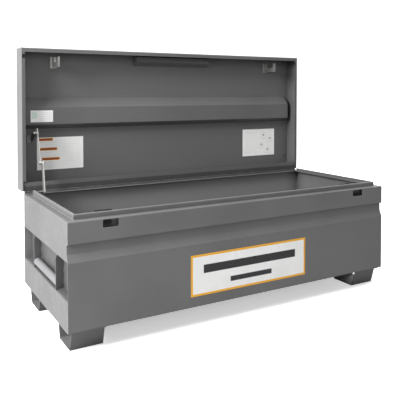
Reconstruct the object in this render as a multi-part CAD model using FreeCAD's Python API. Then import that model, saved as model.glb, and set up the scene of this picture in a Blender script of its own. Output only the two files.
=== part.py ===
import FreeCAD, Part
import math
import os
from FreeCAD import Vector

# Jobsite tool chest in welded sheet steel, modelled with its lid standing open.
# X runs along the chest, Y from front to back and Z up. While it is being built,
# y is measured from the front face, and every sub-part is moved at the end so that the
# origin lies on the floor under the middle of the whole chest. The lid is modelled shut
# and then turned open about the hinge.

# ---------------------------------------------------------------- driving dimensions, mm
SHEET = 2.0                 # wall, floor and lid sheet
BEND = 3.0                  # inside radius of every bend
FIT = 0.1                   # gap left where two welded pieces meet

BODY_LENGTH = 1813.0
BODY_DEPTH = 752.0
BODY_BOTTOM = 94.0          # underside of the box, which is the height of the feet
LEDGE_Z = 557.0             # flat ledge that the lid's rim comes down on
LIP_HEIGHT = 24.0           # raised lip around the opening
LIP_HEM = 9.0               # inward return along the top of the lip
FRONT_LEDGE = 28.0
END_LEDGE = 34.0
BOTTOM_FLANGE = 22.0

FOLD_LOW = 386.0            # front panel: foot of the sloped return
FOLD_HIGH = 420.0           # head of the sloped return
FOLD_STEP = 461.0           # underside of the upper band
FOLD_IN = 14.0              # set-back of the recessed band

RECESS_FLOOR = 222.0        # handle recess in each end panel
RECESS_FLOOR_RISE = 8.0
RECESS_TOP = FOLD_LOW
RECESS_IN = 40.0

REAR_FLANGE_Z = 561.0       # top of the back panel's flange, which carries the hinge
REAR_FLANGE = 40.0

FOOT_SHEET = 4.0
FOOT_LENGTH = 148.0
FOOT_INSET = 22.0           # from the end of the box
FOOT_TOP_FRONT = 28.0       # from the front face, at the top of the foot
FOOT_TOP_WIDTH = 196.0
FOOT_SLOPE = 26.0           # each flank leans in by this much
FOOT_FLANGE = 20.0

GUSSET_SHEET = 4.0
GUSSET_FROM_FRONT = 186.0
GUSSET_ROUND = 28.0
GUSSET_SNIPE = 5.0
GUSSET_EDGE = 3.0           # its free edge stands this far inside the end face
GRIP_RADIUS = 18.0
GRIP_WALL = 3.0
GRIP_IN = 20.5
GRIP_Z = 250.0

SLOT_FROM_END = 187.5       # middle of each padlock slot
SLOT_WIDTH = 71.0
SLOT_LOW = 518.0
SLOT_HIGH = 552.0
SLOT_ROUND = 4.0
POCKET_WIDTH = 92.0
POCKET_DEPTH = 106.0
POCKET_BOTTOM = 505.0
POCKET_TOP = 572.0
POCKET_NECK = 553.0         # height of the pocket's sides under the ledge
POCKET_NECK_DEPTH = 40.0

PLATE_LENGTH = 678.0
PLATE_HEIGHT = 193.0
PLATE_MIDDLE_X = 8.0
PLATE_MIDDLE_Z = 240.0
PLATE_THICKNESS = 1.0

LID_LENGTH = 1829.0
LID_FRONT = 2.0             # outside of the lid's front skirt
LID_RIM_Z = 558.5
LID_TOP_Z = 664.5
LID_FRONT_HEM = 22.0
LID_END_HEM = 20.0
LID_REAR_FLANGE = 46.0
LID_REAR_FLANGE_Z = 567.0
LID_RETURN = 6.0            # the skirts' bends end this far in, where the flat sheets meet them
HEM_TAB_END = 37.0          # the end hem has a short tab, then a notch, then runs on
HEM_NOTCH_END = 57.0
HEM_REAR_END = 700.0

HINGE_Y = 757.5
HINGE_Z = 564.0
OPEN_ANGLE = 90.0
LEAF_SHEET = 1.5
LEAF_REACH = 31.0
PIN_RADIUS = 2.2
PIN_CLEARANCE = 0.05
KNUCKLE_RADIUS = 3.8
KNUCKLE_PITCH = 60.2
KNUCKLE_COUNT = 30
KNUCKLE_GAP = 0.4
KNUCKLE_RELIEF = -0.15

STIFFENER_END = 26.0        # from the end of the box
STIFFENER_DEPTH = 45.0
STIFFENER_FRONT_FLANGE = 505.0   # the next six are distances from the hinge
STIFFENER_FRONT_FOOT = 493.0
STIFFENER_FACE_FRONT = 443.0
STIFFENER_FACE_REAR = 349.0
STIFFENER_REAR_FOOT = 325.0
STIFFENER_REAR_FLANGE = 305.0

CHANNEL_FACE_LENGTH = 491.0
CHANNEL_TAPER = 10.0
CHANNEL_MIDDLE_X = 10.0
CHANNEL_FACE_Y = (26.5, 54.5)
CHANNEL_BASE_Y = (12.5, 79.5)
CHANNEL_DEPTH = 40.0

STAPLE_SHEET = 6.0
STAPLE_REAR = 99.0
STAPLE_FRONT = 45.0
STAPLE_WEB = 28.0
STAPLE_ARM = 22.0
STAPLE_BOTTOM = 548.0
STAPLE_EYE_RADIUS = 6.0
STAPLE_EYE_IN = 11.0
STAPLE_PAD_WIDTH = 36.0
STAPLE_PAD = 4.0

STAY_FOOT_Y = 684.0         # lower pivot, on the chest
STAY_FOOT_Z = 572.0
STAY_HEAD_FORWARD = 308.0   # upper pivot, on the shut lid: in front of the hinge
STAY_HEAD_ABOVE = 10.0      # and above it
STAY_LOWER = 150.0
STAY_UPPER = 163.0
STAY_UPPER_TAIL = 16.0       # the upper link carries on past its pin by this
STAY_LOWER_HALF = 14.0
STAY_UPPER_HALF = 10.0
STAY_LOWER_SPAN = (85.0, 91.0)   # across the chest, from its left end
STAY_UPPER_SPAN = (74.0, 78.0)
STAY_PLATE_SPAN = (64.0, 68.0)   # the lid bracket's upright plate
JOURNAL_RADIUS = 4.0
JOURNAL_CLEARANCE = 0.06
STUD_RADIUS = 6.4
STAY_SIDE_PLAY = 0.5
RIVET_RADIUS = 5.0
RIVET_HEAD = 9.0

LABEL_THICKNESS = 0.5
LABEL_LENGTH = 260.0
LABEL_HEIGHT = 178.0
LABEL_FROM_HINGE = 98.0
LABEL_FROM_LEFT = 95.0
LABEL_FROM_RIGHT = 107.0
SMALL_LABEL_LENGTH = 120.0
SMALL_LABEL_HEIGHT = 63.0
SMALL_LABEL_FROM_HINGE = 363.0
SMALL_LABEL_FROM_LEFT = 52.0

# ---------------------------------------------------------------- worked-out dimensions
HALF = BODY_LENGTH / 2
LID_HALF = LID_LENGTH / 2
LIP_TOP = LEDGE_Z + LIP_HEIGHT
LID_INSIDE_Z = LID_TOP_Z - SHEET
LID_REAR_Y = HINGE_Y + LID_TOP_Z - HINGE_Z      # outside of the lid's top when it is open
Y_MIDDLE = (LID_REAR_Y - PLATE_THICKNESS) / 2
SLOT_X = HALF - SLOT_FROM_END
SIDES = (("left", -1), ("right", 1))


# ---------------------------------------------------------------- geometry helpers
def box(low, high):
    """A box between two opposite corners."""
    size = [b - a for a, b in zip(low, high)]
    return Part.makeBox(size[0], size[1], size[2], Vector(*low))


def cylinder_x(radius, x_low, x_high, y, z):
    """A round bar along X."""
    return Part.makeCylinder(radius, x_high - x_low, Vector(x_low, y, z), Vector(1, 0, 0))


def directions(points):
    """Unit direction of each run of a polyline."""
    found = []
    for (au, av), (bu, bv) in zip(points, points[1:]):
        length = math.hypot(bu - au, bv - av)
        found.append(((bu - au) / length, (bv - av) / length))
    return found


def beside(points, distance):
    """The same polyline moved sideways, to the left of its travel."""
    runs = directions(points)
    moved = []
    for i, (u, v) in enumerate(points):
        before = runs[max(i - 1, 0)]
        after = runs[min(i, len(runs) - 1)]
        mitre = (-before[1] - after[1], before[0] + after[0])
        scale = 2 * distance / (mitre[0] ** 2 + mitre[1] ** 2)
        moved.append((u + mitre[0] * scale, v + mitre[1] * scale))
    return moved


def rounded_edges(points, radii, place):
    """Edges of an open polyline whose inner corners are arcs of the given radii."""
    runs = directions(points)
    edges = []
    start = points[0]
    for i in range(1, len(points) - 1):
        before = runs[i - 1]
        after = runs[i]
        cosine = before[0] * after[0] + before[1] * after[1]
        half_turn = math.acos(max(-1.0, min(1.0, cosine))) / 2
        reach = radii[i - 1] * math.tan(half_turn)
        corner = points[i]
        enter = (corner[0] - before[0] * reach, corner[1] - before[1] * reach)
        leave = (corner[0] + after[0] * reach, corner[1] + after[1] * reach)
        inward = (after[0] - before[0], after[1] - before[1])
        size = math.hypot(*inward)
        sink = radii[i - 1] * (1 / math.cos(half_turn) - 1)
        middle = (corner[0] + inward[0] / size * sink, corner[1] + inward[1] / size * sink)
        edges.append(Part.LineSegment(place(*start), place(*enter)).toShape())
        edges.append(Part.Arc(place(*enter), place(*middle), place(*leave)).toShape())
        start = leave
    edges.append(Part.LineSegment(place(*start), place(*points[-1])).toShape())
    return edges


def bent_sheet(points, side, place, along, thickness=SHEET, bend=BEND):
    """Sheet whose visible surface follows the points and whose thickness lies on one side.

    side is 1 for the left of the travel and -1 for the right, place turns a profile point
    into a point in space, and along is the vector that the profile is extruded by.
    """
    runs = directions(points)
    near = []
    far = []
    for before, after in zip(runs, runs[1:]):
        turn = before[0] * after[1] - before[1] * after[0]
        inside = turn * side > 0
        near.append(bend + thickness if inside else bend)
        far.append(bend if inside else bend + thickness)
    other = beside(points, side * thickness)
    edges = rounded_edges(points, near, place)
    edges.append(Part.LineSegment(place(*points[-1]), place(*other[-1])).toShape())
    edges += rounded_edges(other[::-1], far[::-1], place)
    edges.append(Part.LineSegment(place(*other[0]), place(*points[0])).toShape())
    return Part.Face(Part.Wire(edges)).extrude(along)


def prism(points, place, along):
    """A closed polygon, extruded."""
    corners = [place(*p) for p in points]
    return Part.Face(Part.makePolygon(corners + corners[:1])).extrude(along)


def across_x(x):
    """Places a (y, z) profile in the plane at x."""
    return lambda y, z: Vector(x, y, z)


def from_end(sign, y):
    """Places an (inboard, z) profile at one end of the box; sign is -1 for the left."""
    return lambda inboard, z: Vector(sign * (HALF - inboard), y, z)


def largest(shape):
    """The biggest solid of a shape, which drops any sliver that a cut leaves."""
    return max(shape.Solids, key=lambda solid: solid.Volume)


def left_x(inboard):
    """X of a point measured from the left end of the box."""
    return inboard - HALF


def opened(shape):
    """Turns a piece of the shut lid to its open place."""
    turned = shape.copy()
    turned.rotate(Vector(0, HINGE_Y, HINGE_Z), Vector(1, 0, 0), -OPEN_ANGLE)
    return turned


def opened_point(y, z):
    """Where a (y, z) point of the shut lid lies when the lid is open."""
    turn = math.radians(OPEN_ANGLE)
    dy = y - HINGE_Y
    dz = z - HINGE_Z
    return (HINGE_Y + dy * math.cos(turn) + dz * math.sin(turn),
            HINGE_Z - dy * math.sin(turn) + dz * math.cos(turn))


# ---------------------------------------------------------------- box
def front_profile():
    """Outside of the front panel, from its bottom flange up to the lip's hem."""
    return [
        (BOTTOM_FLANGE, BODY_BOTTOM),
        (0, BODY_BOTTOM),
        (0, FOLD_LOW),
        (FOLD_IN, FOLD_HIGH),
        (FOLD_IN, FOLD_STEP),
        (0, FOLD_STEP),
        (0, LEDGE_Z),
        (FRONT_LEDGE, LEDGE_Z),
        (FRONT_LEDGE, LIP_TOP),
        (FRONT_LEDGE + LIP_HEM, LIP_TOP),
    ]


def padlock_slot(x):
    """The hole that a padlock slot takes out of the front panel."""
    hole = box((x - SLOT_WIDTH / 2, -SHEET, SLOT_LOW), (x + SLOT_WIDTH / 2, 2 * SHEET, SLOT_HIGH))
    corners = [e for e in hole.Edges if abs(e.tangentAt(e.FirstParameter).y) > 0.9]
    return hole.makeFillet(SLOT_ROUND, corners)


def front_panel():
    """One sheet: lower face, sloped return, set-back band, upper band, ledge and lip."""
    panel = full_length(front_profile(), -1)
    for _, sign in SIDES:
        ends = sorted((sign * (HALF - END_LEDGE), sign * (HALF + 1)))
        panel = panel.cut(box((ends[0], -1, LEDGE_Z), (ends[1], BODY_DEPTH / 2, LIP_TOP + 1)))
        panel = panel.cut(padlock_slot(sign * SLOT_X))
    return panel


def back_profile():
    """Outside of the back panel, with its bottom flange and the flange for the hinge."""
    return [
        (BODY_DEPTH - BOTTOM_FLANGE, BODY_BOTTOM),
        (BODY_DEPTH, BODY_BOTTOM),
        (BODY_DEPTH, REAR_FLANGE_Z),
        (BODY_DEPTH - REAR_FLANGE, REAR_FLANGE_Z),
    ]


def full_length(points, side, thickness=SHEET):
    """Bent sheet that runs the whole length of the box."""
    return bent_sheet(points, side, across_x(-HALF), Vector(BODY_LENGTH, 0, 0), thickness)


def back_panel():
    """Plain back sheet with its two flanges."""
    return full_length(back_profile(), 1)


def end_panel(sign):
    """End sheet with the handle recess folded into it, its ledge and its lip."""
    points = [
        (0, BODY_BOTTOM),
        (0, RECESS_FLOOR),
        (RECESS_IN, RECESS_FLOOR + RECESS_FLOOR_RISE),
        (RECESS_IN, RECESS_TOP),
        (0, RECESS_TOP),
        (0, LEDGE_Z),
        (END_LEDGE, LEDGE_Z),
        (END_LEDGE, LIP_TOP),
        (END_LEDGE + LIP_HEM, LIP_TOP),
    ]
    sheet = bent_sheet(points, -1, from_end(sign, 0), Vector(0, BODY_DEPTH, 0))
    reach = END_LEDGE + LIP_HEM + 1
    inner = beside(front_profile(), -SHEET)
    room = [(inner[1][0], BODY_BOTTOM - 1)] + inner[2:7]
    room = room + [(FRONT_LEDGE, LEDGE_Z - SHEET), (FRONT_LEDGE, LIP_TOP + 1)]
    room = room + [(BODY_DEPTH - SHEET, LIP_TOP + 1), (BODY_DEPTH - SHEET, BODY_BOTTOM - 1)]
    inside = prism(room, across_x(sign * HALF), Vector(-sign * (RECESS_IN + reach), 0, 0))
    panel = sheet.common(inside)
    for points, side in ((front_profile(), -1), (back_profile(), 1)):
        panel = panel.cut(full_length(points, side, SHEET + FIT))
    lip_end = BODY_DEPTH - LID_REAR_FLANGE - 4
    away = sorted((sign * (HALF - reach), sign * (HALF + 1)))
    lip = sorted((sign * (HALF - reach), sign * (HALF - END_LEDGE)))
    panel = panel.cut(box((away[0], lip_end, LEDGE_Z), (away[1], BODY_DEPTH, LIP_TOP + 1)))
    panel = panel.cut(box((lip[0], 0, LEDGE_Z), (lip[1], FRONT_LEDGE + SHEET, LIP_TOP + 1)))
    hem_start = FRONT_LEDGE + LIP_HEM + FIT
    hem = sorted((sign * (HALF - reach), sign * (HALF - END_LEDGE - SHEET)))
    panel = panel.cut(box((hem[0], 0, LIP_TOP - SHEET - FIT), (hem[1], hem_start, LIP_TOP + 1)))
    return largest(panel)


def floor_panel():
    """Flat floor, lying on the bottom flanges of the front and back panels."""
    inset = SHEET + FIT
    low = (-HALF + inset, inset + BEND, BODY_BOTTOM + SHEET)
    high = (HALF - inset, BODY_DEPTH - inset - BEND, BODY_BOTTOM + 2 * SHEET)
    return box(low, high)


def foot(sign, at_rear):
    """Formed channel with sloped flanks, open towards the ends of the chest."""
    top = BODY_BOTTOM - FOOT_SHEET
    rear_top = FOOT_TOP_FRONT + FOOT_TOP_WIDTH
    points = [
        (FOOT_TOP_FRONT - FOOT_FLANGE, top),
        (FOOT_TOP_FRONT, top),
        (FOOT_TOP_FRONT + FOOT_SLOPE, 0),
        (rear_top - FOOT_SLOPE, 0),
        (rear_top, top),
        (rear_top + FOOT_FLANGE, top),
    ]
    if at_rear:
        points = [(BODY_DEPTH - y, z) for y, z in points[::-1]]
    outer = sign * (HALF - FOOT_INSET)
    along = Vector(-sign * FOOT_LENGTH, 0, 0)
    return bent_sheet(points, 1, across_x(outer), along, FOOT_SHEET, FOOT_SHEET)


# ---------------------------------------------------------------- handles
def gusset(sign, y_low):
    """Plate across the handle recess, with its upper outer corner rounded off."""
    floor_at_edge = RECESS_FLOOR + RECESS_FLOOR_RISE * GUSSET_EDGE / RECESS_IN + FIT
    wall = RECESS_IN - FIT
    head = RECESS_TOP - FIT
    foot_z = RECESS_FLOOR + RECESS_FLOOR_RISE
    place = from_end(sign, y_low)
    slant = 1 - math.sqrt(0.5)
    arc_start = (GUSSET_EDGE, head - GUSSET_ROUND)
    arc_middle = (GUSSET_EDGE + GUSSET_ROUND * slant, head - GUSSET_ROUND * slant)
    arc_end = (GUSSET_EDGE + GUSSET_ROUND, head)
    outline = [
        arc_end,
        (wall - GUSSET_SNIPE, head),
        (wall, head - GUSSET_SNIPE),
        (wall, foot_z + GUSSET_SNIPE),
        (wall - GUSSET_SNIPE, foot_z),
        (GUSSET_EDGE, floor_at_edge),
        arc_start,
    ]
    edges = []
    for a, b in zip(outline, outline[1:]):
        edges.append(Part.LineSegment(place(*a), place(*b)).toShape())
    edges.append(Part.Arc(place(*arc_start), place(*arc_middle), place(*arc_end)).toShape())
    return Part.Face(Part.Wire(edges)).extrude(Vector(0, GUSSET_SHEET, 0))


def grip(sign):
    """Round tube between the two gussets of one handle."""
    start = Vector(sign * (HALF - GRIP_IN), GUSSET_FROM_FRONT + GUSSET_SHEET + FIT, GRIP_Z)
    length = BODY_DEPTH - 2 * start.y
    tube = Part.makeCylinder(GRIP_RADIUS, length, start, Vector(0, 1, 0))
    return tube.cut(Part.makeCylinder(GRIP_RADIUS - GRIP_WALL, length, start, Vector(0, 1, 0)))


# ---------------------------------------------------------------- padlock pockets and plate
def lock_pocket(sign):
    """Open-topped box behind a padlock slot, where the lid's staple comes down."""
    front = SHEET + 3 * FIT
    back = front + POCKET_DEPTH
    outline = [
        (front, POCKET_BOTTOM),
        (back, POCKET_BOTTOM),
        (back, POCKET_TOP),
        (POCKET_NECK_DEPTH, POCKET_TOP),
        (POCKET_NECK_DEPTH, POCKET_NECK),
        (front, POCKET_NECK),
    ]
    left = sign * SLOT_X - POCKET_WIDTH / 2
    shell = prism(outline, across_x(left), Vector(POCKET_WIDTH, 0, 0))
    low = (left + SHEET, 0, POCKET_BOTTOM + SHEET)
    high = (left + POCKET_WIDTH - SHEET, back - SHEET, POCKET_TOP + 1)
    return shell.cut(box(low, high))


def front_plate():
    """Thin plate on the middle of the front face."""
    low = (PLATE_MIDDLE_X - PLATE_LENGTH / 2, -PLATE_THICKNESS, PLATE_MIDDLE_Z - PLATE_HEIGHT / 2)
    high = (PLATE_MIDDLE_X + PLATE_LENGTH / 2, 0, PLATE_MIDDLE_Z + PLATE_HEIGHT / 2)
    return box(low, high)


# ---------------------------------------------------------------- hinge
def hinge_leaf(z_low, first):
    """One leaf of the full-length hinge, with every second knuckle from the given one."""
    start = -KNUCKLE_PITCH * KNUCKLE_COUNT / 2
    free = HINGE_Y - KNUCKLE_RADIUS - KNUCKLE_RELIEF
    z_high = z_low + LEAF_SHEET
    pieces = [box((start, HINGE_Y - LEAF_REACH, z_low), (-start, free, z_high))]
    for i in range(first, KNUCKLE_COUNT, 2):
        x_low = start + i * KNUCKLE_PITCH + KNUCKLE_GAP / 2
        x_high = x_low + KNUCKLE_PITCH - KNUCKLE_GAP
        pieces.append(box((x_low, free, z_low), (x_high, HINGE_Y, z_high)))
        pieces.append(cylinder_x(KNUCKLE_RADIUS, x_low, x_high, HINGE_Y, HINGE_Z))
    leaf = pieces[0].multiFuse(pieces[1:]).removeSplitter()
    bore = PIN_RADIUS + PIN_CLEARANCE
    return leaf.cut(cylinder_x(bore, start - 1, -start + 1, HINGE_Y, HINGE_Z))


def hinge_pin():
    """Pin through all the knuckles."""
    reach = KNUCKLE_PITCH * KNUCKLE_COUNT / 2
    return cylinder_x(PIN_RADIUS, -reach, reach, HINGE_Y, HINGE_Z)


# ---------------------------------------------------------------- lid, modelled shut
def lid_length_sheet(points, gap=FIT):
    """Bent sheet between the lid's two end skirts, with a gap at each."""
    half = LID_HALF - SHEET - gap
    return bent_sheet(points, -1, across_x(-half), Vector(2 * half, 0, 0), SHEET + FIT - gap)


def lid_strip(y_low, y_high, z_low):
    """Flat strip between the lid's two end skirts."""
    half = LID_HALF - SHEET - FIT
    return box((-half, y_low, z_low), (half, y_high, z_low + SHEET))


def lid_room():
    """Everything that the lid's long sheets take up, with the weld gap round it."""
    points = [
        (LID_FRONT + LID_FRONT_HEM, LID_RIM_Z),
        (LID_FRONT, LID_RIM_Z),
        (LID_FRONT, LID_TOP_Z),
        (BODY_DEPTH, LID_TOP_Z),
        (BODY_DEPTH, LID_REAR_FLANGE_Z),
        (BODY_DEPTH - LID_REAR_FLANGE, LID_REAR_FLANGE_Z),
    ]
    return lid_length_sheet(points, 0)


def lid_front():
    """Front skirt with the bends at its two edges."""
    points = [
        (LID_FRONT + LID_RETURN, LID_RIM_Z),
        (LID_FRONT, LID_RIM_Z),
        (LID_FRONT, LID_TOP_Z),
        (LID_FRONT + LID_RETURN, LID_TOP_Z),
    ]
    return lid_length_sheet(points)


def lid_rear():
    """Rear skirt with the bends at its two edges."""
    points = [
        (BODY_DEPTH - LID_RETURN, LID_TOP_Z),
        (BODY_DEPTH, LID_TOP_Z),
        (BODY_DEPTH, LID_REAR_FLANGE_Z),
        (BODY_DEPTH - LID_RETURN, LID_REAR_FLANGE_Z),
    ]
    return lid_length_sheet(points)


def lid_top():
    """Flat top between the two skirts' bends."""
    return lid_strip(LID_FRONT + LID_RETURN, BODY_DEPTH - LID_RETURN, LID_INSIDE_Z)


def lid_front_hem():
    """Flat hem inside the front skirt's lower bend."""
    return lid_strip(LID_FRONT + LID_RETURN, LID_FRONT + LID_FRONT_HEM, LID_RIM_Z)


def lid_hinge_rail():
    """Flat rail inside the rear skirt's lower bend, which carries the hinge."""
    rail = BODY_DEPTH - LID_REAR_FLANGE
    return lid_strip(rail, BODY_DEPTH - LID_RETURN, LID_REAR_FLANGE_Z)


def lid_end(sign):
    """End skirt of the lid, with a hem that has a notch near the front corner."""
    inboard = HALF - LID_HALF
    points = [
        (inboard + LID_END_HEM, LID_RIM_Z),
        (inboard, LID_RIM_Z),
        (inboard, LID_TOP_Z),
    ]
    length = Vector(0, BODY_DEPTH - LID_FRONT, 0)
    skirt = bent_sheet(points, -1, from_end(sign, LID_FRONT), length)
    inner = sign * (LID_HALF - SHEET - BEND)
    hem_low = LID_RIM_Z - 1
    hem_high = LID_RIM_Z + SHEET + FIT
    tab_start = LID_FRONT + LID_FRONT_HEM + FIT
    reach = sign * (LID_HALF - LID_END_HEM - 1)
    x_low, x_high = sorted((inner, reach))
    for y_low, y_high in ((0, tab_start), (HEM_TAB_END, HEM_NOTCH_END), (HEM_REAR_END, BODY_DEPTH + 1)):
        skirt = skirt.cut(box((x_low, y_low, hem_low), (x_high, y_high, hem_high)))
    return largest(skirt.cut(lid_room()))


def lid_stiffener():
    """Hat section across the lid, with a long slope on its front side."""
    low = LID_INSIDE_Z - SHEET - FIT
    face = LID_INSIDE_Z - STIFFENER_DEPTH
    points = [
        (HINGE_Y - STIFFENER_FRONT_FLANGE, low),
        (HINGE_Y - STIFFENER_FRONT_FOOT, low),
        (HINGE_Y - STIFFENER_FACE_FRONT, face),
        (HINGE_Y - STIFFENER_FACE_REAR, face),
        (HINGE_Y - STIFFENER_REAR_FOOT, low),
        (HINGE_Y - STIFFENER_REAR_FLANGE, low),
    ]
    half = HALF - STIFFENER_END
    return bent_sheet(points, 1, across_x(-half), Vector(2 * half, 0, 0))


def frustum(inset, deep):
    """Tapered block under the lid's top, inset all round by the same amount."""
    half_face = CHANNEL_FACE_LENGTH / 2 - inset
    half_base = half_face + CHANNEL_TAPER
    rings = []
    for half, (y_low, y_high), z in (
        (half_base, CHANNEL_BASE_Y, LID_INSIDE_Z - FIT),
        (half_face, CHANNEL_FACE_Y, LID_INSIDE_Z - deep),
    ):
        x_low = CHANNEL_MIDDLE_X - half
        x_high = CHANNEL_MIDDLE_X + half
        corners = [
            Vector(x_low, y_low + inset, z),
            Vector(x_high, y_low + inset, z),
            Vector(x_high, y_high - inset, z),
            Vector(x_low, y_high - inset, z),
        ]
        rings.append(Part.makePolygon(corners + corners[:1]))
    return Part.makeLoft(rings, True, True)


def lid_front_channel():
    """Short closed-end channel that stiffens the middle of the lid's front."""
    return frustum(0, CHANNEL_DEPTH).cut(frustum(SHEET, CHANNEL_DEPTH - SHEET))


def lock_staple(sign):
    """C-shaped plate that hangs from the lid into a padlock pocket."""
    top = LID_INSIDE_Z - FIT
    outline = [
        (STAPLE_REAR, top),
        (STAPLE_REAR, STAPLE_BOTTOM),
        (STAPLE_FRONT, STAPLE_BOTTOM),
        (STAPLE_FRONT, STAPLE_BOTTOM + STAPLE_ARM),
        (STAPLE_REAR - STAPLE_WEB, STAPLE_BOTTOM + STAPLE_ARM),
        (STAPLE_REAR - STAPLE_WEB, top - STAPLE_ARM),
        (STAPLE_FRONT, top - STAPLE_ARM),
        (STAPLE_FRONT, top),
    ]
    left = sign * SLOT_X - STAPLE_SHEET / 2
    plate = prism(outline, across_x(left), Vector(STAPLE_SHEET, 0, 0))
    half_pad = STAPLE_PAD_WIDTH / 2
    pad_low = (sign * SLOT_X - half_pad, STAPLE_FRONT - STAPLE_PAD, top - STAPLE_PAD)
    pad_high = (sign * SLOT_X + half_pad, STAPLE_REAR + STAPLE_PAD, top)
    eye_y = STAPLE_FRONT + STAPLE_EYE_IN
    eye_z = STAPLE_BOTTOM + STAPLE_EYE_IN
    eye = cylinder_x(STAPLE_EYE_RADIUS, left - 1, left + STAPLE_SHEET + 1, eye_y, eye_z)
    return plate.fuse(box(pad_low, pad_high)).removeSplitter().cut(eye)


def lid_label(x_low, length, from_hinge, height, surface_z):
    """Thin label under a surface of the lid, set out from the hinge."""
    low = (x_low, HINGE_Y - from_hinge - height, surface_z - LABEL_THICKNESS)
    high = (x_low + length, HINGE_Y - from_hinge, surface_z)
    return box(low, high)


# ---------------------------------------------------------------- lid stay
def stay_points():
    """Lower pivot, knee and upper pivot of the stay, with the lid open."""
    foot_point = (STAY_FOOT_Y, STAY_FOOT_Z)
    head = opened_point(HINGE_Y - STAY_HEAD_FORWARD, HINGE_Z + STAY_HEAD_ABOVE)
    dy = head[0] - foot_point[0]
    dz = head[1] - foot_point[1]
    span = math.hypot(dy, dz)
    along = (STAY_LOWER ** 2 - STAY_UPPER ** 2 + span ** 2) / (2 * span)
    off = math.sqrt(STAY_LOWER ** 2 - along ** 2)
    knee = (foot_point[0] + (dy * along - dz * off) / span,
            foot_point[1] + (dz * along + dy * off) / span)
    return foot_point, knee, head


def flat_link(start, end, half_width, span, start_hole, end_hole, tail=0):
    """Flat bar with round ends and two holes, which may carry on past its first hole."""
    x_low = left_x(span[0])
    x_high = left_x(span[1])
    thick = Vector(x_high - x_low, 0, 0)
    length = math.hypot(end[0] - start[0], end[1] - start[1])
    unit = ((end[0] - start[0]) / length, (end[1] - start[1]) / length)
    off = (-unit[1] * half_width, unit[0] * half_width)
    tip = (start[0] - unit[0] * tail, start[1] - unit[1] * tail)
    sides = [
        (tip[0] + off[0], tip[1] + off[1]),
        (end[0] + off[0], end[1] + off[1]),
        (end[0] - off[0], end[1] - off[1]),
        (tip[0] - off[0], tip[1] - off[1]),
    ]
    bar = prism(sides, across_x(x_low), thick)
    for centre in (tip, end):
        bar = bar.fuse(cylinder_x(half_width, x_low, x_high, *centre))
    bar = bar.removeSplitter()
    for centre, radius in ((start, start_hole), (end, end_hole)):
        bar = bar.cut(cylinder_x(radius, x_low - 1, x_high + 1, *centre))
    return bar


def turned_post(steps, centre):
    """Round stepped post along X: each step is a radius and a span from the left end."""
    post = None
    for radius, low, high in steps:
        piece = cylinder_x(radius, left_x(low), left_x(high), *centre)
        post = piece if post is None else post.fuse(piece)
    return post


def stay_mount():
    """Plate on the inside of the left lip, with the stud that the stay turns on."""
    lip_face = END_LEDGE + SHEET + FIT
    plate_face = lip_face + 5.0
    low = (left_x(lip_face), STAY_FOOT_Y - 16, LEDGE_Z + BEND + 1)
    high = (left_x(plate_face), STAY_FOOT_Y + 10, LIP_TOP - BEND - SHEET - FIT)
    journal_low = STAY_LOWER_SPAN[0] - STAY_SIDE_PLAY
    journal_high = STAY_LOWER_SPAN[1] + STAY_SIDE_PLAY
    post = turned_post(
        (
            (STUD_RADIUS, plate_face, journal_low),
            (JOURNAL_RADIUS, journal_low, journal_high),
            (2 * JOURNAL_RADIUS, journal_high, journal_high + 4),
        ),
        (STAY_FOOT_Y, STAY_FOOT_Z),
    )
    return box(low, high).fuse(post)


def stay_lower_link():
    """Heavier link, turning on the chest's stud."""
    start, knee, _ = stay_points()
    hole = JOURNAL_RADIUS + JOURNAL_CLEARANCE
    return flat_link(start, knee, STAY_LOWER_HALF, STAY_LOWER_SPAN, hole, RIVET_RADIUS)


def stay_upper_link():
    """Lighter link, turning on the lid's pin."""
    _, knee, head = stay_points()
    hole = JOURNAL_RADIUS + JOURNAL_CLEARANCE
    return flat_link(head, knee, STAY_UPPER_HALF, STAY_UPPER_SPAN, hole, RIVET_RADIUS,
                     STAY_UPPER_TAIL)


def knee_rivet(span, outer, inner):
    """Headed rivet through one link's knee hole: its heads reach out and in by these."""
    _, knee, _ = stay_points()
    return turned_post(
        (
            (RIVET_HEAD, span[0] - outer, span[0] - FIT),
            (RIVET_RADIUS - FIT, span[0] - FIT, span[1] + FIT),
            (RIVET_HEAD, span[1] + FIT, span[1] + inner),
        ),
        knee,
    )


def stay_lid_bracket():
    """Upright plate with a foot on the lid's top, which holds the stay's upper pin."""
    pivot_y = HINGE_Y - STAY_HEAD_FORWARD
    pivot_z = HINGE_Z + STAY_HEAD_ABOVE
    x_low = left_x(STAY_PLATE_SPAN[0])
    x_high = left_x(STAY_PLATE_SPAN[1])
    foot_y = (pivot_y + 16.0, pivot_y + 56.0)
    top = LID_INSIDE_Z - FIT
    outline = [
        (foot_y[0], top),
        (foot_y[1], top),
        (pivot_y + 10.5, pivot_z - 6.0),
        (pivot_y - 10.5, pivot_z + 6.0),
    ]
    web = prism(outline, across_x(x_low), Vector(x_high - x_low, 0, 0))
    boss = cylinder_x(12.0, x_low, x_high, pivot_y, pivot_z)
    pad = box((x_low - 22.0, foot_y[0], top - 4.0), (x_high, foot_y[1], top))
    hole = cylinder_x(JOURNAL_RADIUS, x_low - 1, x_high + 1, pivot_y, pivot_z)
    return web.fuse(boss).fuse(pad).removeSplitter().cut(hole)


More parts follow.
